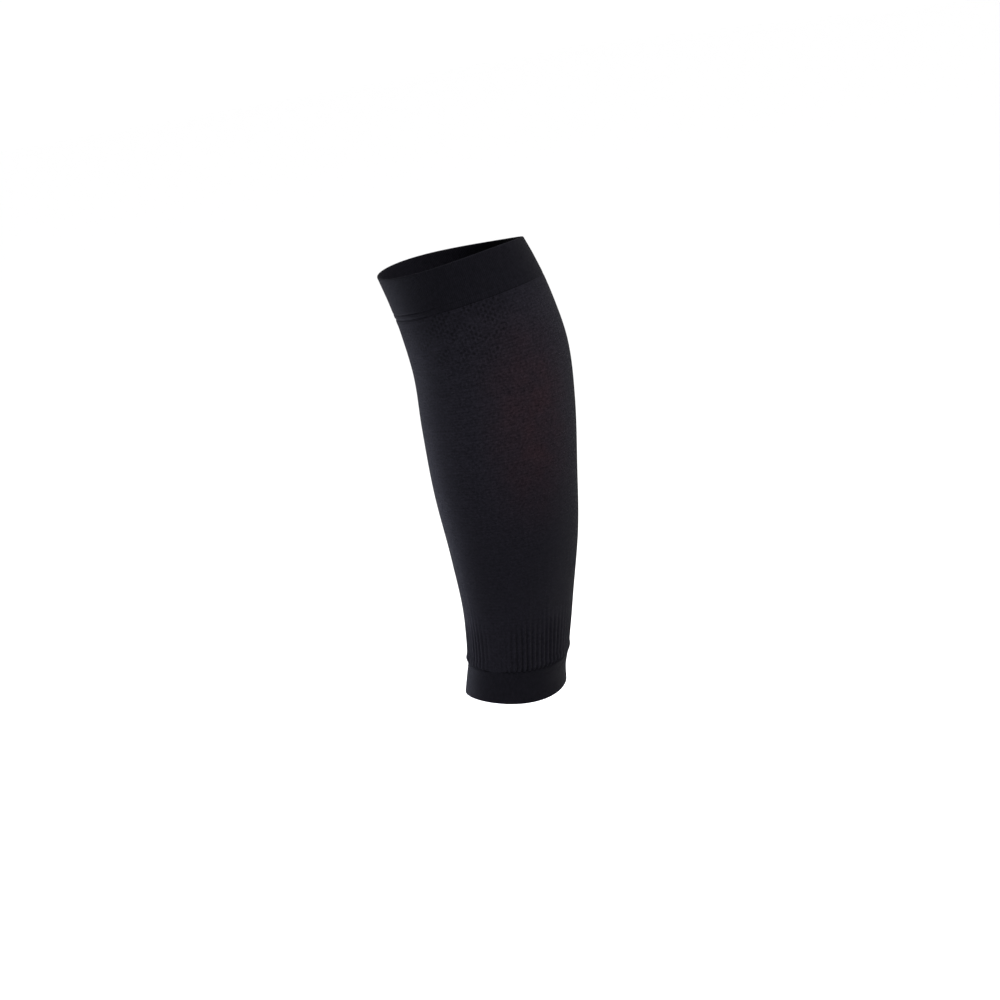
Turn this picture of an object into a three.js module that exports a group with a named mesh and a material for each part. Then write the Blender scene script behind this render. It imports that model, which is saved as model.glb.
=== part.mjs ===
// Knitted compression sleeve for the calf, in the form that it takes on a left leg.
// Sizes are in millimetres. Z runs up the leg from the middle of the ankle opening,
// the shin faces -Y, the calf +Y and the outer side of the leg +X.

import * as THREE from 'three';

// Lengths along the leg
const SLEEVE_LENGTH = 330;
const TOP_BAND_DEPTH = 31;
const ANKLE_BAND_DEPTH = 23;
const JOIN_GAP = 0.3;

// Cloth: the body is one layer of knit, a band is the knit turned over on itself
const BODY_WALL = 1.2;
const BAND_WALL = 1.8;
const BAND_PROUD = 0.4;
const BODY_KNIT = { color: 0x27262a, roughness: 0.95, metalness: 0 };
const BAND_KNIT = { color: 0x1b1b1f, roughness: 0.9, metalness: 0 };

// Upright ribs above the ankle, full below one height and gone above the other
const RIB_COUNT = 64;
const RIB_RELIEF = 0.6;
const RIB_FULL_HEIGHT = 42;
const RIB_GONE_HEIGHT = 76;

// How firmly the ankle band draws the ribs up, round the leg: a mean, and waves with a count in a turn
const DRAW_MEAN = 0.72;
const DRAW_WAVES = [
  { size: 0.42, count: 3, phase: 2.1 },
  { size: 0.2, count: 8, phase: 0.6 },
];

// The knit swells a little beside each band and tucks in at its very edge
const ROLL_RELIEF = 0.5;
const ROLL_CENTRE = 3;
const ROLL_REACH = 3.5;
const EDGE_TUCK = 0.5;
const EDGE_ROUND = 1;

// Linking line round a band, a shallow groove beside the join
const LINK_OFFSET = 4.2;
const LINK_HALF_WIDTH = 0.7;
const LINK_DEPTH = 0.3;

// Facets: points round a ring and steps along the leg
const POINTS_PER_RIB = 4;
const RIBBED_POINTS = RIB_COUNT * POINTS_PER_RIB;
const PLAIN_POINTS = RIBBED_POINTS / 2;
const INSIDE_POINTS = RIB_COUNT;
const BAND_POINTS = 64;
const PLAIN_STEPS = 10;
const INSIDE_STEPS = 12;
const FOLD_STEPS = 4;

// Outside of the sleeve, one row for each section up the leg. Width and depth are across the leg
// and from shin to calf; side and back shift the section's middle off the Z axis; egg widens it
// towards the calf; the two rises tilt the section up towards the outer side and the calf; reach
// lifts it at both sides of the leg and lowers it as much at shin and calf.
const LEG_COLUMNS = ['height', 'width', 'depth', 'side', 'back', 'egg', 'riseSide', 'riseBack', 'reach'];
const LEG_SECTIONS = [
  [0, 66, 84, -0.4, 0.8, -0.06, -0.08, -0.05, -1.8],
  [12, 64, 82.5, -0.2, 3.4, -0.06, -0.08, -0.05, -1.4],
  [25, 64, 84.5, 0.5, 7.5, -0.06, -0.08, -0.05, -1],
  [60, 69, 92, 1.5, 13, -0.02, -0.05, -0.03, 0],
  [110, 86, 105, 2, 17, 0.04, 0, 0, 0],
  [160, 100, 114, 2, 17, 0.08, 0.01, 0.01, 0],
  [210, 108, 120, 2, 19.5, 0.08, 0.03, 0.02, 0],
  [250, 110, 119.5, 2.5, 20, 0.06, 0.06, 0.05, 0],
  [285, 108, 115.5, 1.5, 14, 0.04, 0.1, 0.08, 0.2],
  [310, 107, 110, -1, 8, 0.02, 0.13, 0.1, 0.8],
  [330, 109, 107, -2, 1, 0, 0.1, 0.07, 1.8],
].map((row) => Object.fromEntries(LEG_COLUMNS.map((name, column) => [name, row[column]])));

// Heights where the pieces meet
const BODY_LOW = ANKLE_BAND_DEPTH + JOIN_GAP;
const TOP_BAND_LOW = SLEEVE_LENGTH - TOP_BAND_DEPTH;
const BODY_HIGH = TOP_BAND_LOW - JOIN_GAP;

const TURN = 2 * Math.PI;
const SECTION_SIZES = LEG_COLUMNS.filter((name) => name !== 'height');

// Slope of one size at a row: that of the line between the rows above and below
function slopeAt(row, size) {
  const below = LEG_SECTIONS[Math.max(row - 1, 0)];
  const above = LEG_SECTIONS[Math.min(row + 1, LEG_SECTIONS.length - 1)];
  return (above[size] - below[size]) / (above.height - below.height);
}

// Section at any height: a cubic between the two rows that it lies between
function sectionAt(height) {
  let row = 0;
  while (row < LEG_SECTIONS.length - 2 && height > LEG_SECTIONS[row + 1].height) {
    row += 1;
  }
  const low = LEG_SECTIONS[row];
  const high = LEG_SECTIONS[row + 1];
  const span = high.height - low.height;
  const up = (height - low.height) / span;
  const down = 1 - up;
  const section = {};
  for (const size of SECTION_SIZES) {
    const ends = low[size] * (1 + 2 * up) * down * down + high[size] * (1 + 2 * down) * up * up;
    const bends = slopeAt(row, size) * down - slopeAt(row + 1, size) * up;
    section[size] = ends + bends * span * up * down;
  }
  return section;
}

// Point on the leg's form at an angle from +X towards +Y, moved outwards by some millimetres
function legPoint(angle, height, outwards) {
  const section = sectionAt(height);
  const halfWidth = section.width / 2;
  const halfDepth = section.depth / 2;
  const cosine = Math.cos(angle);
  const sine = Math.sin(angle);
  const swell = 1 + section.egg * sine;
  const tangentX = halfWidth * (section.egg * cosine * cosine - sine * swell);
  const tangentY = halfDepth * cosine;
  const tangent = Math.hypot(tangentX, tangentY);
  const x = halfWidth * cosine * swell + (outwards * tangentY) / tangent;
  const y = halfDepth * sine - (outwards * tangentX) / tangent;
  const tilt = section.riseSide * x + section.riseBack * y;
  const z = height + tilt + section.reach * Math.cos(2 * angle);
  return new THREE.Vector3(x + section.side, y + section.back, z);
}

// One ring of points round the leg; outwardsAt gives the distance off the form at each angle
function ring(count, height, outwardsAt) {
  const points = [];
  for (let step = 0; step < count; step += 1) {
    const angle = (TURN * step) / count;
    points.push(legPoint(angle, height, outwardsAt(angle)));
  }
  return points;
}

// Triangles between two rings, walking round both so that their counts may differ
function bridge(faces, lower, lowerStart, upper, upperStart) {
  let i = 0;
  let j = 0;
  while (i < lower.length || j < upper.length) {
    const a = lowerStart + (i % lower.length);
    const b = upperStart + (j % upper.length);
    const lowerNext = (i + 1) / lower.length;
    const upperNext = (j + 1) / upper.length;
    if (j >= upper.length || (i < lower.length && lowerNext <= upperNext)) {
      faces.push(a, lowerStart + ((i + 1) % lower.length), b);
      i += 1;
    } else {
      faces.push(a, upperStart + ((j + 1) % upper.length), b);
      j += 1;
    }
  }
}

// Closed wall from rings that go up the outside, over the edge, down the inside and back
function closedWall(rings) {
  const points = rings.flat();
  const starts = [];
  let total = 0;
  for (const loop of rings) {
    starts.push(total);
    total += loop.length;
  }
  const faces = [];
  for (let k = 0; k < rings.length; k += 1) {
    const next = (k + 1) % rings.length;
    bridge(faces, rings[k], starts[k], rings[next], starts[next]);
  }
  const geometry = new THREE.BufferGeometry();
  geometry.setFromPoints(points);
  geometry.setIndex(faces);
  geometry.computeVertexNormals();
  return geometry;
}

// Evenly spaced values from one end to the other, both included
function steps(from, to, count) {
  const values = [];
  for (let step = 0; step <= count; step += 1) {
    values.push(THREE.MathUtils.lerp(from, to, step / count));
  }
  return values;
}

// Share of their full relief that the ribs have at an angle
function drawnUp(angle) {
  let share = DRAW_MEAN;
  for (const wave of DRAW_WAVES) {
    share += wave.size * Math.sin(wave.count * angle + wave.phase);
  }
  return share;
}

// How far the body's outside stands off the form: ribs, rolls beside the bands and tucked edges
function bodyOutwards(height) {
  const standing = 1 - THREE.MathUtils.smoothstep(height, RIB_FULL_HEIGHT, RIB_GONE_HEIGHT);
  const ridge = (standing * RIB_RELIEF) / 2;
  const fromEdge = Math.min(height - BODY_LOW, BODY_HIGH - height);
  const roll = ROLL_RELIEF * Math.exp(-(((fromEdge - ROLL_CENTRE) / ROLL_REACH) ** 2));
  const tuck = EDGE_TUCK * (1 - THREE.MathUtils.smoothstep(fromEdge, 0, EDGE_ROUND));
  return (angle) => roll - tuck - ridge * drawnUp(angle) * Math.cos(RIB_COUNT * angle);
}

// Body: a tube of knit, ribbed at its lower end
function sleeveBody() {
  const edgeSteps = [0, EDGE_ROUND, ROLL_CENTRE, ROLL_CENTRE + ROLL_REACH];
  const ribbed = edgeSteps.map((step) => BODY_LOW + step);
  ribbed.push(RIB_FULL_HEIGHT, (RIB_FULL_HEIGHT + RIB_GONE_HEIGHT) / 2);
  const plain = steps(RIB_GONE_HEIGHT, BODY_HIGH - edgeSteps[3], PLAIN_STEPS);
  plain.push(BODY_HIGH - edgeSteps[2], BODY_HIGH - edgeSteps[1], BODY_HIGH);
  const inside = steps(BODY_HIGH, BODY_LOW, INSIDE_STEPS);
  return closedWall([
    ...ribbed.map((height) => ring(RIBBED_POINTS, height, bodyOutwards(height))),
    ...plain.map((height) => ring(PLAIN_POINTS, height, bodyOutwards(height))),
    ...inside.map((height) => ring(INSIDE_POINTS, height, () => -BODY_WALL)),
  ]);
}

// Band: knit turned over into a round fold at the free edge and linked to the body at the other.
// The profile is written as distance from the join towards the fold, with the distance outwards.
function turnedBand(depth, heightAt) {
  const foldRadius = BAND_WALL / 2;
  const foldStart = depth - foldRadius;
  const outside = [
    [0, BAND_PROUD - EDGE_TUCK],
    [EDGE_ROUND, BAND_PROUD],
    [LINK_OFFSET - LINK_HALF_WIDTH, BAND_PROUD],
    [LINK_OFFSET, BAND_PROUD - LINK_DEPTH],
    [LINK_OFFSET + LINK_HALF_WIDTH, BAND_PROUD],
    [(LINK_OFFSET + foldStart) / 2, BAND_PROUD],
  ];
  const fold = steps(0, Math.PI, FOLD_STEPS).map((turn) => [
    foldStart + foldRadius * Math.sin(turn),
    BAND_PROUD - foldRadius + foldRadius * Math.cos(turn),
  ]);
  const inside = [
    [foldStart / 2, BAND_PROUD - BAND_WALL],
    [0, BAND_PROUD - BAND_WALL],
  ];
  const profile = [...outside, ...fold, ...inside];
  return profile.map(([along, outwards]) => ring(BAND_POINTS, heightAt(along), () => outwards));
}

// Each piece is one closed mesh with its own knit
function knitPiece(name, geometry, knit) {
  const mesh = new THREE.Mesh(geometry, new THREE.MeshStandardMaterial(knit));
  mesh.name = name;
  return mesh;
}

const topBand = closedWall(turnedBand(TOP_BAND_DEPTH, (along) => TOP_BAND_LOW + along));
const ankleBand = closedWall(turnedBand(ANKLE_BAND_DEPTH, (along) => ANKLE_BAND_DEPTH - along).reverse());

const calfSleeve = new THREE.Group();
calfSleeve.name = 'calf_sleeve';
calfSleeve.add(knitPiece('top_band', topBand, BAND_KNIT));
calfSleeve.add(knitPiece('sleeve_body', sleeveBody(), BODY_KNIT));
calfSleeve.add(knitPiece('ankle_band', ankleBand, BAND_KNIT));

export default calfSleeve;
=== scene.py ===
import bpy
import numpy as np
from mathutils import Matrix, Vector


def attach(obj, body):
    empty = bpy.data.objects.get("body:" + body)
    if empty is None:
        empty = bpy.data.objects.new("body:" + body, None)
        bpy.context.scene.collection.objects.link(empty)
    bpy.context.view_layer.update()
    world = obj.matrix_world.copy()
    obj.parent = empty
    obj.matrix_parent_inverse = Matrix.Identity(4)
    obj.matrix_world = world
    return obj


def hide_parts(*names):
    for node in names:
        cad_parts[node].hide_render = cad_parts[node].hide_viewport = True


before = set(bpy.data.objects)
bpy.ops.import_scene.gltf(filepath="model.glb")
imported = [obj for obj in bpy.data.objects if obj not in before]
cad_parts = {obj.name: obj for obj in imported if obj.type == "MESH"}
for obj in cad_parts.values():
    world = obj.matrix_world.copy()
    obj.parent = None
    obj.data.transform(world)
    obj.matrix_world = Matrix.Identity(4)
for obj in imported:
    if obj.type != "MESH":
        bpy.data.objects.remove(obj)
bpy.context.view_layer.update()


# Sleeve body: a seamless tube of black compression knit, one layer thick, in the form of a left calf.
# It is knitted in one with the bands. Its lower end is pulled in by the ankle band and stands in
# upright ribs, uneven as real gathers are, that fade out above the ankle.
SLEEVE_LENGTH = 0.330
TOP_BAND_DEPTH = 0.031
ANKLE_BAND_DEPTH = 0.023
JOIN_GAP = 0.00005
BODY_LOW = ANKLE_BAND_DEPTH + JOIN_GAP
TOP_BAND_LOW = SLEEVE_LENGTH - TOP_BAND_DEPTH
BODY_HIGH = TOP_BAND_LOW - JOIN_GAP
BODY_WALL = 0.0012
THINNEST_WALL = 0.0003

# Outside of the sleeve, a row for each section up its length, in metres; egg and rises are ratios
SECTION_COLUMNS = ("height", "width", "depth", "side", "back", "egg", "rise_side", "rise_back", "reach")
SECTIONS = np.array((
    (0.000, 0.0660, 0.0840, -0.0004, 0.0008, -0.06, -0.08, -0.05, -0.0018),
    (0.012, 0.0640, 0.0825, -0.0002, 0.0034, -0.06, -0.08, -0.05, -0.0014),
    (0.025, 0.0640, 0.0845, 0.0005, 0.0075, -0.06, -0.08, -0.05, -0.0010),
    (0.060, 0.0690, 0.0920, 0.0015, 0.0130, -0.02, -0.05, -0.03, 0.0000),
    (0.110, 0.0860, 0.1050, 0.0020, 0.0170, 0.04, 0.00, 0.00, 0.0000),
    (0.160, 0.1000, 0.1140, 0.0020, 0.0170, 0.08, 0.01, 0.01, 0.0000),
    (0.210, 0.1080, 0.1200, 0.0020, 0.0195, 0.08, 0.03, 0.02, 0.0000),
    (0.250, 0.1100, 0.1195, 0.0025, 0.0200, 0.06, 0.06, 0.05, 0.0000),
    (0.285, 0.1080, 0.1155, 0.0015, 0.0140, 0.04, 0.10, 0.08, 0.0002),
    (0.310, 0.1070, 0.1100, -0.0010, 0.0080, 0.02, 0.13, 0.10, 0.0008),
    (0.330, 0.1090, 0.1070, -0.0020, 0.0010, 0.00, 0.10, 0.07, 0.0018),
))

# How firmly the ankle band draws the knit in, round the sleeve: a mean and waves, a row for each with
# its size, its count in a turn and its phase. Below the first limit of its grip the join lies flush.
DRAW_MEAN = 0.72
DRAW_WAVES = ((0.42, 3, 2.1), (0.20, 8, 0.6))
DRAW_GRIP = (0.10, 0.45)

# Ribs: ridge and groove are heights off the form. Scallop is how much further up the lower edge
# rounds off in a groove. Sway shifts the ribs to and fro, counted in ribs: rows of size, count in a
# turn, phase and how far the phase runs on up the ribs.
RIB_COUNT = 64
RIB_RIDGE = 0.00050
RIB_RIDGE_SPREAD = (0.6, 1.4)
RIB_GROOVE = 0.00070
RIB_SCALLOP = 3.0
RIB_FULL_HEIGHT = 0.042
RIB_GONE_HEIGHT = (0.066, 0.104)
RIB_SWAY = ((0.25, 5, 1.3, 0.0), (0.15, 13, 0.0, 4.1))
RIB_SEED = 54

# Joins: beside a band the knit swells and at its very edge it tucks in. The line under the top band
# is deepest beside the shin.
LOW_ROLL_RELIEF = 0.0009
HIGH_ROLL_RELIEF = 0.0002
ROLL_CENTRE = 0.0026
ROLL_REACH = 0.0030
LOW_TUCK = 0.0008
LOW_TUCK_SPREAD = 0.9
HIGH_TUCK = 0.0005
EDGE_ROUND = 0.0014
BAND_PROUD = 0.0003
TOP_LINE_LEAST = 0.20
TOP_LINE_ANGLE = np.radians(230)

# Grid of the body: its rows lie close together at both edges. A flat map of a wall gives the inside,
# which is hidden, less room than the outside.
POINTS_PER_RIB = 8
EDGE_ROWS = EDGE_ROUND * np.array((0, 0.2, 0.45, 0.75, 1.1, 1.6, 2.2, 3.0, 4.0, 5.2))
OUTSIDE_ROWS = 88
INSIDE_ROWS = 40
INSIDE_ROOM = 0.35


def sleeve_section(height):
    """Sizes of the sleeve's section at each height, as a dict of arrays.

    A cubic runs between two rows. Its slope at a row is that of the line joining the row's neighbours.
    """
    heights, sizes = SECTIONS[:, 0], SECTIONS[:, 1:]
    below = np.maximum(np.arange(len(heights)) - 1, 0)
    above = np.minimum(np.arange(len(heights)) + 1, len(heights) - 1)
    slopes = (sizes[above] - sizes[below]) / (heights[above] - heights[below])[:, None]
    row = np.clip(np.searchsorted(heights, height, "right") - 1, 0, len(heights) - 2)
    span = (heights[row + 1] - heights[row])[..., None]
    up = (height - heights[row])[..., None] / span
    down = 1 - up
    ends = sizes[row] * (1 + 2 * up) * down ** 2 + sizes[row + 1] * (1 + 2 * down) * up ** 2
    bends = (slopes[row] * down - slopes[row + 1] * up) * span * up * down
    return dict(zip(SECTION_COLUMNS[1:], np.moveaxis(ends + bends, -1, 0)))


def sleeve_point(angle, height, outwards):
    """Points at an angle from +X towards +Y and a height up the sleeve, moved outwards from its form.

    The section is an ellipse that widens towards the calf side by egg. A point is moved along the
    section's normal. The section is then tilted by its two rises, lifted at both sides by reach times
    the cosine of twice the angle, and shifted off the axis.
    """
    section = sleeve_section(height)
    half_width, half_depth, egg = section["width"] / 2, section["depth"] / 2, section["egg"]
    cosine, sine = np.cos(angle), np.sin(angle)
    swell = 1 + egg * sine
    tangent_x = half_width * (egg * cosine ** 2 - sine * swell)
    tangent_y = half_depth * cosine
    tangent = np.hypot(tangent_x, tangent_y)
    x = half_width * cosine * swell + outwards * tangent_y / tangent
    y = half_depth * sine - outwards * tangent_x / tangent
    tilt = section["rise_side"] * x + section["rise_back"] * y
    z = height + tilt + section["reach"] * np.cos(2 * angle)
    return np.stack((x + section["side"], y + section["back"], z), axis=-1)


def smooth_step(low, high, value):
    """0 below low, 1 above high, and 3t^2 - 2t^3 between them."""
    share = np.clip((value - low) / (high - low), 0, 1)
    return share * share * (3 - 2 * share)


def bell(distance, reach):
    """1 at no distance and falling off to both sides as exp(-(distance / reach)^2)."""
    return np.exp(-(distance / reach) ** 2)


def turn_of(points):
    """That many angles in one turn, from the inner side, where the seam of the grid lies."""
    return np.pi + np.arange(points) * 2 * np.pi / points


def profile_share(height, outwards):
    """Share of the way round a wall's closed profile at each row, from 0 to 1 back at the first.

    A step counts by its length, and on the inside of the wall by INSIDE_ROOM times its length.
    """
    relief = outwards.mean(axis=1)
    step = np.hypot(np.roll(height, -1) - height, np.roll(relief, -1) - relief)
    inner = relief < (relief.min() + relief.max()) / 2
    step = step * np.where(inner & np.roll(inner, -1), INSIDE_ROOM, 1)
    return np.concatenate(((0,), np.cumsum(step))) / step.sum()


def knit_wall(name, angle, height, outwards):
    """A closed wall of knit on a grid of angles and profile rows that wraps round both ways.

    The profile goes up the outside, over the edge, down the inside and back. The map "knit" holds
    the share of a turn and the share of the sleeve's length, so that stitches can follow the wall.
    The map "OFBake" lays the whole wall out flat with no overlap, for colours painted on it.
    """
    rows, columns = len(height), len(angle)
    level = np.broadcast_to(height[:, None], (rows, columns))
    points = sleeve_point(angle[None, :], level, outwards)
    row, column = np.meshgrid(np.arange(rows), np.arange(columns), indexing="ij")
    next_row, next_column = (row + 1) % rows, (column + 1) % columns
    corners = np.stack((
        row * columns + column,
        row * columns + next_column,
        next_row * columns + next_column,
        next_row * columns + column,
    ), axis=-1).reshape(-1, 4)
    mesh = bpy.data.meshes.new(name)
    mesh.from_pydata(points.reshape(-1, 3).tolist(), [], corners.tolist())
    turn = np.stack((column, column + 1, column + 1, column), axis=-1) / columns
    length = height[np.stack((row, row, next_row, next_row), axis=-1)] / SLEEVE_LENGTH
    along = profile_share(height, outwards)[np.stack((row, row, row + 1, row + 1), axis=-1)]
    for layer, upwards in (("knit", length), ("OFBake", along)):
        places = np.stack((turn, upwards), axis=-1)
        mesh.uv_layers.new(name=layer).data.foreach_set("uv", places.ravel())
    mesh.polygons.foreach_set("use_smooth", np.ones(len(mesh.polygons), dtype=bool))
    mesh.update()
    wall = bpy.data.objects.new(name, mesh)
    bpy.context.collection.objects.link(wall)
    return wall


def drawn_in(angle):
    """How firmly the ankle band draws the knit in at each angle: a mean and sine waves."""
    waves = sum(size * np.sin(count * angle + phase) for size, count, phase in DRAW_WAVES)
    return DRAW_MEAN + waves


def ankle_line(angle):
    """How deep the line over the ankle band is at each angle, from 0 where it lies flush to 1."""
    return smooth_step(*DRAW_GRIP, drawn_in(angle))


def top_line(angle):
    """How deep the line under the top band is at each angle, up to 1 beside the shin.

    It follows the square of a raised cosine.
    """
    towards_shin = ((1 + np.cos(angle - TOP_LINE_ANGLE)) / 2) ** 2
    return TOP_LINE_LEAST + (1 - TOP_LINE_LEAST) * towards_shin


def gathered_ribs(angle, height):
    """Relief of the ribs, and how deep in a groove each point lies, from 0 to about 1.

    A rib is a round ridge between sharp grooves, |sin| across it. Every rib has its own ridge height
    and its own height where it fades out. All stand as high as the knit is drawn in, and they sway
    to and fro up the sleeve.
    """
    random = np.random.default_rng(RIB_SEED)
    ridge = RIB_RIDGE * random.uniform(*RIB_RIDGE_SPREAD, RIB_COUNT)
    gone = random.uniform(*RIB_GONE_HEIGHT, RIB_COUNT)
    climb = (height - BODY_LOW) / (RIB_GONE_HEIGHT[1] - BODY_LOW)
    sway = climb * sum(size * np.sin(count * angle + phase + run * climb)
                       for size, count, phase, run in RIB_SWAY)
    across = RIB_COUNT * (angle - angle.min()) / (2 * np.pi) + sway
    rib = np.floor(across).astype(int) % RIB_COUNT
    crest = np.abs(np.sin(np.pi * across))
    draw = drawn_in(angle)
    standing = draw * (1 - smooth_step(RIB_FULL_HEIGHT, gone[rib], height))
    sunk = draw * (1 - smooth_step(RIB_FULL_HEIGHT, RIB_GONE_HEIGHT[0], height)) * (1 - crest)
    return ridge[rib] * standing * crest - RIB_GROOVE * sunk, np.clip(sunk, 0, 1)


around = turn_of(RIB_COUNT * POINTS_PER_RIB)
outside = np.concatenate((
    BODY_LOW + EDGE_ROWS,
    np.linspace(BODY_LOW + EDGE_ROWS[-1], BODY_HIGH - EDGE_ROWS[-1], OUTSIDE_ROWS)[1:-1],
    BODY_HIGH - EDGE_ROWS[::-1],
))
inside = np.linspace(BODY_HIGH, BODY_LOW, INSIDE_ROWS)
from_low, from_high = (outside - BODY_LOW)[:, None], (BODY_HIGH - outside)[:, None]
ribs, groove = gathered_ribs(around[None, :], outside[:, None])
low_round = EDGE_ROUND * (1 + LOW_TUCK_SPREAD * (drawn_in(around) - 1) + RIB_SCALLOP * groove)
low_tuck = LOW_TUCK * (1 - smooth_step(0, low_round, from_low))
high_tuck = HIGH_TUCK * (1 - smooth_step(0, EDGE_ROUND, from_high))
low_roll = LOW_ROLL_RELIEF * bell(from_low - ROLL_CENTRE, ROLL_REACH)
high_roll = HIGH_ROLL_RELIEF * bell(from_high - ROLL_CENTRE, ROLL_REACH)
flush = BAND_PROUD * bell(from_low, ROLL_REACH)
grip = ankle_line(around)
outside_relief = ribs + grip * (low_roll - low_tuck) + (1 - grip) * flush
outside_relief = outside_relief + high_roll - top_line(around) * high_tuck
body_relief = np.concatenate((
    np.maximum(outside_relief, THINNEST_WALL - BODY_WALL),
    np.full((len(inside), len(around)), -BODY_WALL),
))
calf_tube = knit_wall("calf_tube", around, np.concatenate((outside, inside)), body_relief)
# How deep each point lies in a groove also goes on the points, for the material to paint shade into the
# grooves
groove_depth = np.concatenate((groove, np.zeros((len(inside), len(around)))))
groove_layer = calf_tube.data.attributes.new("groove", "FLOAT", "POINT")
groove_layer.data.foreach_set("value", groove_depth.ravel())


class Shade:
    """One socket of a material's nodes, used as a number: arithmetic on it adds Math nodes."""

    def __init__(self, tree, socket=None):
        self.tree = tree
        self.socket = socket

    def node(self, kind, settings, inputs, output=0):
        """Adds a node of that type, sets its settings and then its sockets, by value or by link."""
        made = self.tree.nodes.new(kind)
        for name, value in settings.items():
            setattr(made, name, value)
        for name, value in inputs.items():
            if isinstance(value, Shade):
                self.tree.links.new(value.socket, made.inputs[name])
            else:
                made.inputs[name].default_value = value
        return Shade(self.tree, made.outputs[output]) if made.outputs else made

    def maths(self, operation, *values):
        """A Math node of that operation on the values."""
        return self.node("ShaderNodeMath", {"operation": operation}, dict(enumerate(values)))

    def __add__(self, other):
        return self.maths("ADD", self, other)

    def __radd__(self, other):
        return self.maths("ADD", other, self)

    def __sub__(self, other):
        return self.maths("SUBTRACT", self, other)

    def __rsub__(self, other):
        return self.maths("SUBTRACT", other, self)

    def __mul__(self, other):
        return self.maths("MULTIPLY", self, other)

    def __rmul__(self, other):
        return self.maths("MULTIPLY", other, self)

    def __truediv__(self, other):
        return self.maths("DIVIDE", self, other)

    def __mod__(self, other):
        return self.maths("FLOORED_MODULO", self, other)

    def __abs__(self):
        return self.maths("ABSOLUTE", self)

    def floor(self):
        """The whole number below."""
        return self.maths("FLOOR", self)

    def sine(self):
        """The sine, of an angle in radians."""
        return self.maths("SINE", self)

    def from_middle(self):
        """0 in the middle between two whole numbers and 1 at each of them."""
        return abs(self % 1 - 0.5) * 2

    def ramp(self, low, high):
        """0 below low, 1 above high and smooth between."""
        return self.node("ShaderNodeMapRange", {"interpolation_type": "SMOOTHSTEP"},
                         {"Value": self, "From Min": low, "From Max": high})

    def mixed(self, first, second):
        """The first colour where this is 0 and the second where it is 1.

        A Mix node repeats its sockets' names for each type of value, so those for colours go by number.
        """
        return self.node("ShaderNodeMix", {"data_type": "RGBA"}, {0: self, 6: first, 7: second}, 2)


# Stitches: how many columns of them go round and rows up the whole sleeve, and how far the two legs of
# a stitch lean. The yarn is matt with a faint cool sheen.
WALES_PER_RIB = 4
WALE_COUNT = RIB_COUNT * WALES_PER_RIB
COURSE_COUNT = 380
STITCH_LEAN = 0.55
GRAIN_NOISE = {"Scale": 1.0, "Detail": 1.0, "Roughness": 0.6}
CLOUD_NOISE = {"Detail": 2.0, "Roughness": 0.55}
YARN_SPECULAR = 0.03
YARN_SHEEN = {"Sheen Weight": 0.013, "Sheen Roughness": 0.28, "Sheen Tint": (0.85, 0.86, 0.92, 1)}


class Knit:
    """The places on a piece of knit that a material works from.

    Wales are the columns of stitches round the sleeve and courses the rows up it. Across is 0 in the
    middle of a wale and 1 at its sides; the two legs of a stitch lean from there, as a chevron.
    """

    def __init__(self, name):
        self.material = bpy.data.materials.new(name)
        self.material.use_nodes = True
        tree = self.material.node_tree
        tree.nodes.clear()
        self.shade = Shade(tree)
        place = self.shade.node("ShaderNodeUVMap", {"uv_map": "knit"}, {})
        self.turn = self.shade.node("ShaderNodeSeparateXYZ", {}, {"Vector": place}, "X")
        self.length = self.shade.node("ShaderNodeSeparateXYZ", {}, {"Vector": place}, "Y")
        self.point = self.shade.node("ShaderNodeTexCoord", {}, {}, "Object")
        self.wale, self.course = self.turn * WALE_COUNT, self.length * COURSE_COUNT
        across = self.wale.from_middle()
        lean = (self.course + across * STITCH_LEAN) % 1
        leg = 1 - (across * 2 - 1) * (across * 2 - 1)
        self.stitch = leg * (lean * np.pi).sine()

    def each_stitch(self, wales, courses):
        """A random number for each block of that many wales and courses."""
        block = self.shade.node("ShaderNodeCombineXYZ", {}, {
            "X": (self.wale / wales).floor(),
            "Y": (self.course / courses).floor(),
        })
        return self.shade.node("ShaderNodeTexWhiteNoise", {"noise_dimensions": "2D"}, {"Vector": block})

    def grain(self, wales, courses):
        """Soft noise whose patches are about that many wales wide and that many courses high."""
        place = self.shade.node("ShaderNodeCombineXYZ", {}, {
            "X": self.wale / wales,
            "Y": self.course / courses,
        })
        return self.shade.node("ShaderNodeTexNoise", {}, {"Vector": place, **GRAIN_NOISE})

    def cloud(self, size):
        """Soft noise whose patches are about that many metres across."""
        return self.shade.node("ShaderNodeTexNoise", {}, {
            "Vector": self.point, "Scale": 1 / size, **CLOUD_NOISE})

    def finish(self, colour, roughness, relief, relief_depth):
        """Principled cloth with the colour, roughness and relief that vary, and the yarn's sheen."""
        bump = self.shade.node("ShaderNodeBump", {}, {
            "Strength": 1.0, "Distance": relief_depth, "Height": relief})
        surface = self.shade.node("ShaderNodeBsdfPrincipled", {}, {
            "Base Color": colour, "Roughness": roughness, "Normal": bump,
            "Specular IOR Level": YARN_SPECULAR, **YARN_SHEEN})
        self.shade.node("ShaderNodeOutputMaterial", {}, {"Surface": surface})
        return self.material


# Body knit: black yarn with a faint mottle from stitch to stitch, and fine lines where the elastic is
# laid in. On the shin half a net of small open stitches fades out below the top band. The outer side
# has a slightly warm cast, where the calf opens the knit most.
# Its colour also holds painted light and shade: lighter up the calf and over the ribs, darker below the
# top band, and painted shade in the rib grooves and between the stitch legs.
BODY_DARK = (0.0026, 0.0025, 0.0041, 1)
BODY_LIGHT = (0.0118, 0.0112, 0.0160, 1)
BODY_HOLE_AND_SHADE = (0.0011, 0.0011, 0.0016, 1)
BODY_ROUGHNESS, BODY_ROUGHNESS_SPREAD = 0.82, 0.12
BODY_RELIEF_DEPTH = 0.00030

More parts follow.
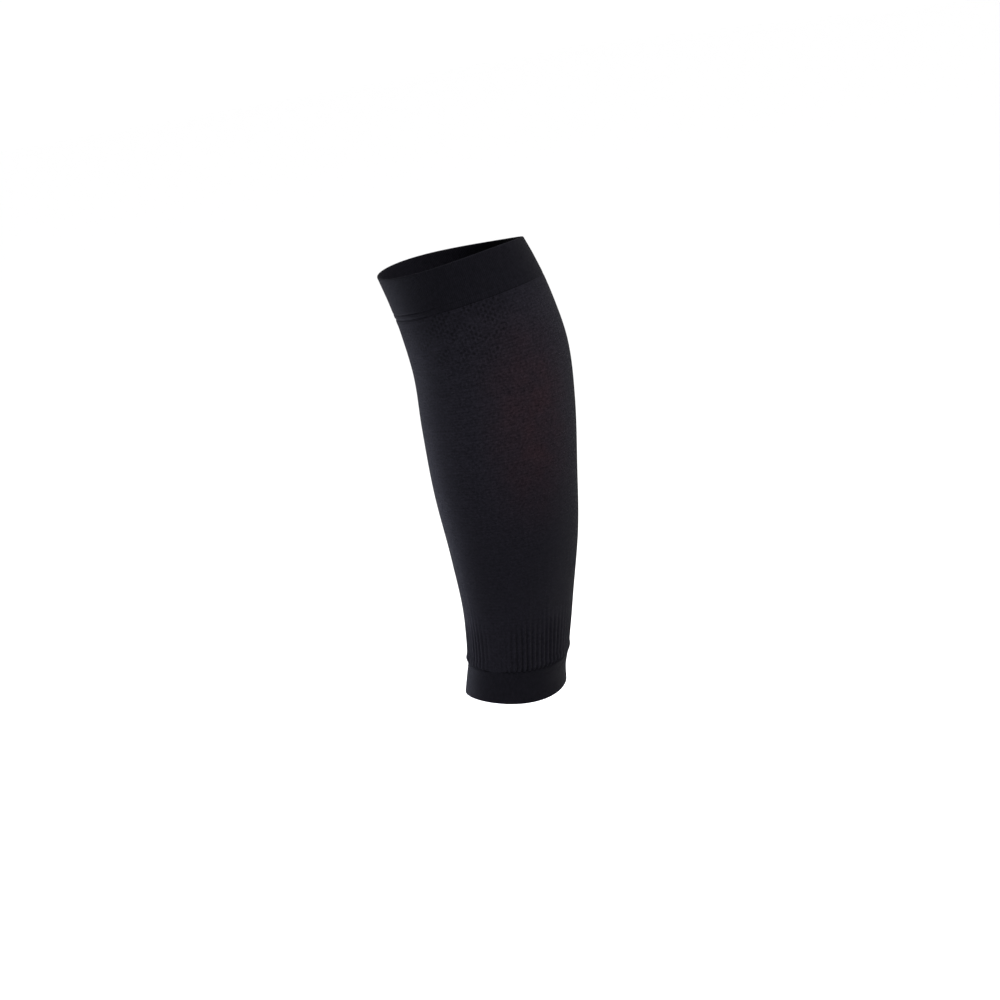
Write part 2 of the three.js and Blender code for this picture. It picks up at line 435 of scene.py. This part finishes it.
# Mottle: shares of single stitches, of a grain sized in wales and courses, and of clouds in metres
STITCH_MOTTLE = 0.20
GRAIN_MOTTLE, GRAIN_SIZE = 1.3, (1.5, 2.4)
CLOUD_MOTTLE, CLOUD_SIZE = 0.4, 0.007
MOTTLE_SINK = 0.43
INLAY_COURSES = 2.5

# Net: the cell of one open stitch, and where the net fades up the sleeve, in clouds and towards +Y
NET_WALES = 2
NET_COURSES = 5
NET_STAGGER = 0.5
EYELET_EDGE = (0.10, 0.75)
NET_LENGTH_FADE = (0.66, 0.90)
NET_CLOUD, NET_CLOUD_LIMITS = 0.009, (0.30, 0.68)
NET_CALF_FADE = (-0.014, 0.012)

# Warm cast: its middle and its fade round and up the sleeve, and how patchy it is
WARM_DARK = (0.0052, 0.0026, 0.0040, 1)
WARM_LIGHT = (0.0212, 0.0124, 0.0160, 1)
WARM_TURN, WARM_TURN_FADE = 0.470, (0.000, 0.135)
WARM_LENGTH, WARM_LENGTH_FADE = 0.63, (0.04, 0.30)
WARM_CLOUD, WARM_CLOUD_LIMITS = 0.016, (0.25, 0.75)
WARM_LEAST, WARM_SPREAD = 0.55, 0.50

# Painted light and shade up the sleeve: the least lightness, what is painted lighter over the ribs and
# up the calf, and the painted shade under the top band, each with the shares of the length that it
# changes over
TONE_LEAST = 0.51
RIB_PAINTED_LIGHT, RIB_PAINTED_LIGHT_FADE = 0.17, (0.127, 0.285)
CALF_PAINTED_LIGHT, CALF_PAINTED_LIGHT_RISE = 0.49, (0.28, 0.70)
TOP_PAINTED_SHADE, TOP_PAINTED_SHADE_RISE = 0.32, (0.84, 0.91)

# How dark the net's open stitches are, the painted shade in the rib grooves, and the darkening between
# stitch legs, partly open knit and partly painted shade; and how far each feature stands up or sinks in
# the relief
INLAY_DARK = 0.12
NET_DARK = 0.60
STITCH_GAP_AND_SHADE = 0.30
GROOVE_PAINTED_SHADE = 0.38
STITCH_RELIEF = 0.7
INLAY_RELIEF = 0.30
MOTTLE_RELIEF = 0.30
NET_RELIEF = 0.5

knit = Knit("body_knit")
mottle = knit.each_stitch(1, 1) * STITCH_MOTTLE + knit.grain(*GRAIN_SIZE) * GRAIN_MOTTLE
mottle = mottle + knit.cloud(CLOUD_SIZE) * CLOUD_MOTTLE - MOTTLE_SINK
inlay = (knit.course * (2 * np.pi / INLAY_COURSES)).sine() * 0.5 + 0.5
net_column = knit.wale / NET_WALES
net_row = knit.course / NET_COURSES + (net_column.floor() % 2) * NET_STAGGER
net_across, net_along = net_column.from_middle(), net_row.from_middle()
eyelet = 1 - (net_across * net_across + net_along * net_along).ramp(*EYELET_EDGE)
net = eyelet * knit.length.ramp(*NET_LENGTH_FADE) * knit.cloud(NET_CLOUD).ramp(*NET_CLOUD_LIMITS)
towards_calf = knit.shade.node("ShaderNodeSeparateXYZ", {}, {"Vector": knit.point}, "Y")
net = net * (1 - towards_calf.ramp(*NET_CALF_FADE))
warm = 1 - abs(knit.turn - WARM_TURN).ramp(*WARM_TURN_FADE)
warm = warm * (1 - abs(knit.length - WARM_LENGTH).ramp(*WARM_LENGTH_FADE))
warm = warm * (WARM_LEAST + knit.cloud(WARM_CLOUD).ramp(*WARM_CLOUD_LIMITS) * WARM_SPREAD)
ribbed = 1 - knit.length.ramp(*RIB_PAINTED_LIGHT_FADE)
# Painted light and shade by height: lighter over the ribs and up the calf, darker under the top band
painted_light = TONE_LEAST + ribbed * RIB_PAINTED_LIGHT + knit.length.ramp(*CALF_PAINTED_LIGHT_RISE) * CALF_PAINTED_LIGHT
painted_light = painted_light * (1 - knit.length.ramp(*TOP_PAINTED_SHADE_RISE) * TOP_PAINTED_SHADE)
mottle_and_painted_light = (mottle - inlay * INLAY_DARK) * painted_light
colour = warm.mixed(mottle_and_painted_light.mixed(BODY_DARK, BODY_LIGHT), mottle_and_painted_light.mixed(WARM_DARK, WARM_LIGHT))
# Painted shade: the rib grooves are painted darker by their depth
sunk = knit.shade.node("ShaderNodeAttribute", {"attribute_name": "groove"}, {}, "Fac")
# One dark colour for the net's open stitches, for the gaps between stitch legs, partly painted shade,
# and for the painted shade in the rib grooves
holes_and_painted_shade = net * NET_DARK + (1 - knit.stitch) * STITCH_GAP_AND_SHADE + sunk * GROOVE_PAINTED_SHADE
stitch_height = knit.stitch * STITCH_RELIEF + inlay * INLAY_RELIEF + mottle * MOTTLE_RELIEF
calf_tube.data.materials.append(knit.finish(
    colour=holes_and_painted_shade.mixed(colour, BODY_HOLE_AND_SHADE),
    roughness=BODY_ROUGHNESS + mottle * BODY_ROUGHNESS_SPREAD,
    relief=stitch_height - net * NET_RELIEF,
    relief_depth=BODY_RELIEF_DEPTH,
))
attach(calf_tube, "root")
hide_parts("sleeve_body")


# Bands: at each end the knit is turned over on itself into a smooth, dense double welt with a round
# fold at the free edge. Its raw edge is linked to the body, which leaves a groove beside the join.
BAND_WALL = 0.0018
TOP_BAND_FLAT = (0.290, TOP_BAND_DEPTH)
ANKLE_BAND_FLAT = (0.197, ANKLE_BAND_DEPTH)
BAND_TUCK = 0.0006
LINK_OFFSET = 0.0042
LINK_HALF_WIDTH = 0.0005
TOP_LINK_DEPTH = 0.0005
ANKLE_LINK_DEPTH = 0.00015

# Grid of a band: points in a turn, and rows at the tucked edge, across the linking line, from there to
# the fold, round the fold and down the inside. The line's rows reach 3 half widths to each side.
BAND_POINTS = 288
TUCK_ROWS = EDGE_ROUND * np.array((0, 0.25, 0.5, 0.8, 1.2))
LINK_ROWS = LINK_OFFSET + LINK_HALF_WIDTH * np.linspace(-3, 3, 13)
PAST_LINK = LINK_OFFSET + 4 * LINK_HALF_WIDTH
PLAIN_ROWS = 16
FOLD_STEPS = 9
BACK_ROWS = 12


def turned_band(name, depth, join_height, direction, line, link_depth):
    """A welt: the profile goes from the join to the fold on the outside, round it and back inside.

    Its outside tucks in at the join by a smooth step and has a bell-shaped groove along the linking
    line, both as deep at each angle as line says. It ends in a half circle as wide as the wall.
    Direction is 1 where the fold is at the top.
    """
    radius = BAND_WALL / 2
    straight = depth - radius
    plain = np.linspace(PAST_LINK, straight, PLAIN_ROWS)
    along = np.unique(np.concatenate((TUCK_ROWS, LINK_ROWS, plain)))
    bend = np.linspace(0, np.pi, FOLD_STEPS)[1:-1]
    back = np.linspace(straight, 0, BACK_ROWS)
    reach = np.concatenate((along, straight + radius * np.sin(bend), back))
    angle = turn_of(BAND_POINTS)
    tuck = BAND_TUCK * (1 - smooth_step(0, EDGE_ROUND, along))
    dip = (tuck + link_depth * bell(along - LINK_OFFSET, LINK_HALF_WIDTH))[:, None] * line(angle)
    over = np.concatenate((radius * (np.cos(bend) - 1), np.full(len(back), -BAND_WALL)))
    outwards = BAND_PROUD + np.concatenate((-dip, np.repeat(over[:, None], BAND_POINTS, axis=1)))
    height = join_height + direction * reach
    return knit_wall(name, angle, height[::direction], outwards[::direction])


# Band knit: the same black yarn knitted closer and darker, with fine upright wales and painted shade
# between them
BAND_DARK = (0.0013, 0.0013, 0.0023, 1)
BAND_LIGHT = (0.0045, 0.0043, 0.0064, 1)
BAND_PAINTED_SHADE = (0.0012, 0.0012, 0.0016, 1)
BAND_ROUGHNESS, BAND_ROUGHNESS_SPREAD = 0.80, 0.10
BAND_RELIEF_DEPTH = 0.00022
BAND_STITCH_MOTTLE, BAND_STITCH_SIZE = 0.35, (1, 2)
BAND_CLOUD_MOTTLE, BAND_CLOUD_SIZE = 0.6, 0.0030
WALE_PAINTED_SHADE, WALE_PAINTED_SHADE_EDGE = 0.35, (0.0, 0.5)
WALE_RELIEF, WALE_RELIEF_EDGE = 0.6, (0.0, 0.8)
BAND_STITCH_RELIEF = 0.3
BAND_MOTTLE_RELIEF = 0.3

knit = Knit("band_knit")
mottle = knit.each_stitch(*BAND_STITCH_SIZE) * BAND_STITCH_MOTTLE
mottle = mottle + knit.cloud(BAND_CLOUD_SIZE) * BAND_CLOUD_MOTTLE
wale_ridge = 1 - knit.wale.from_middle()
# Painted shade: the hollows between the wales are painted darker
shade_between_wales = (1 - wale_ridge.ramp(*WALE_PAINTED_SHADE_EDGE)) * WALE_PAINTED_SHADE
stitch_height = wale_ridge.ramp(*WALE_RELIEF_EDGE) * WALE_RELIEF + knit.stitch * BAND_STITCH_RELIEF
band_knit = knit.finish(
    colour=shade_between_wales.mixed(mottle.mixed(BAND_DARK, BAND_LIGHT), BAND_PAINTED_SHADE),
    roughness=BAND_ROUGHNESS + mottle * BAND_ROUGHNESS_SPREAD,
    relief=stitch_height + mottle * BAND_MOTTLE_RELIEF,
    relief_depth=BAND_RELIEF_DEPTH,
)
top_welt = turned_band("top_welt", TOP_BAND_DEPTH, TOP_BAND_LOW, 1, top_line, TOP_LINK_DEPTH)
ankle_welt = turned_band(
    "ankle_welt", ANKLE_BAND_DEPTH, ANKLE_BAND_DEPTH, -1, ankle_line, ANKLE_LINK_DEPTH)
for band, node, flat in (
    (top_welt, "top_band", TOP_BAND_FLAT),
    (ankle_welt, "ankle_band", ANKLE_BAND_FLAT),
):
    band.data.materials.append(band_knit)
    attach(band, "root")
    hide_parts(node)


# Floor: a plain pale matt sweep that lies well below the ankle band. It is wide enough to run out of
# the picture on every side.
FLOOR_HEIGHT = -0.095
FLOOR_HALF = 12.0
FLOOR_PALE = (0.97, 0.97, 0.97, 1)
FLOOR_ROUGHNESS = 0.9

floor_corners = FLOOR_HALF * np.array(((-1, -1, 0), (1, -1, 0), (1, 1, 0), (-1, 1, 0)))
floor_corners[:, 2] = FLOOR_HEIGHT
floor_mesh = bpy.data.meshes.new("floor")
floor_mesh.from_pydata(floor_corners.tolist(), [], [(0, 1, 2, 3)])
floor = bpy.data.objects.new("floor", floor_mesh)
bpy.context.collection.objects.link(floor)
floor_paint = bpy.data.materials.new("floor_paint")
floor_paint.use_nodes = True
floor_surface = floor_paint.node_tree.nodes["Principled BSDF"].inputs
floor_surface["Base Color"].default_value = FLOOR_PALE
floor_surface["Roughness"].default_value = FLOOR_ROUGHNESS
floor_mesh.materials.append(floor_paint)


# Light: a white room with three soft boxes, which the camera doesn't see. One hangs high over the outer
# side, a bluish one stands low beside the shin and lights the edge of the knit, and a small one stands
# low in front of the ankle band. All face the middle of the sleeve.
ROOM_WHITE = (1, 1, 1, 1)
ROOM_STRENGTH = 1.03
SLEEVE_MIDDLE = Vector((0.0, 0.010, 0.190))
SOFT_BOXES = (
    # name, place, width, height, watts, colour
    ("calf_box", (0.45, 0.00, 1.00), 0.30, 0.30, 14, (1.0, 0.97, 0.96)),
    ("shin_box", (-0.38, -0.12, 0.04), 0.30, 0.24, 3.4, (0.76, 0.80, 1.0)),
    ("ankle_box", (-0.06, -0.28, 0.00), 0.10, 0.10, 0.50, (0.93, 0.95, 1.0)),
)

room = bpy.data.worlds.new("room")
room.use_nodes = True
room_light = room.node_tree.nodes["Background"].inputs
room_light["Color"].default_value = ROOM_WHITE
room_light["Strength"].default_value = ROOM_STRENGTH
bpy.context.scene.world = room
for name, place, width, height, watts, tint in SOFT_BOXES:
    lamp = bpy.data.lights.new(name, "AREA")
    lamp.shape = "RECTANGLE"
    lamp.size = width
    lamp.size_y = height
    lamp.energy = watts
    lamp.color = tint
    stand = bpy.data.objects.new(name, lamp)
    stand.location = place
    stand.visible_camera = False
    stand.rotation_euler = (SLEEVE_MIDDLE - Vector(place)).to_track_quat("-Z", "Y").to_euler()
    bpy.context.collection.objects.link(stand)


# Camera: a long lens that looks from the outer front of the sleeve and a little above it. It is rolled,
# so that the sleeve leans in the picture.
CAMERA_AZIMUTH, CAMERA_ELEVATION, CAMERA_ROLL = np.radians((49.65, 14.24, 8.69))
CAMERA_DISTANCE = 1.476
CAMERA_AIM = Vector((0.0091, 0.0037, 0.1470))
CAMERA_LENS = 72
CAMERA_SENSOR = 36
CAMERA_FAR = 50

lens = bpy.data.cameras.new("camera")
lens.lens = CAMERA_LENS
lens.sensor_width = CAMERA_SENSOR
lens.clip_end = CAMERA_FAR
camera = bpy.data.objects.new("camera", lens)
towards = Vector((
    np.sin(CAMERA_AZIMUTH) * np.cos(CAMERA_ELEVATION),
    -np.cos(CAMERA_AZIMUTH) * np.cos(CAMERA_ELEVATION),
    np.sin(CAMERA_ELEVATION),
))
upright = (-towards).to_track_quat("-Z", "Y").to_matrix().to_4x4()
rolled = Matrix.Rotation(-CAMERA_ROLL, 4, "Z")
camera.matrix_world = Matrix.Translation(CAMERA_AIM + CAMERA_DISTANCE * towards) @ upright @ rolled
bpy.context.collection.objects.link(camera)
bpy.context.scene.camera = camera
bpy.context.scene.view_settings.view_transform = "Standard"
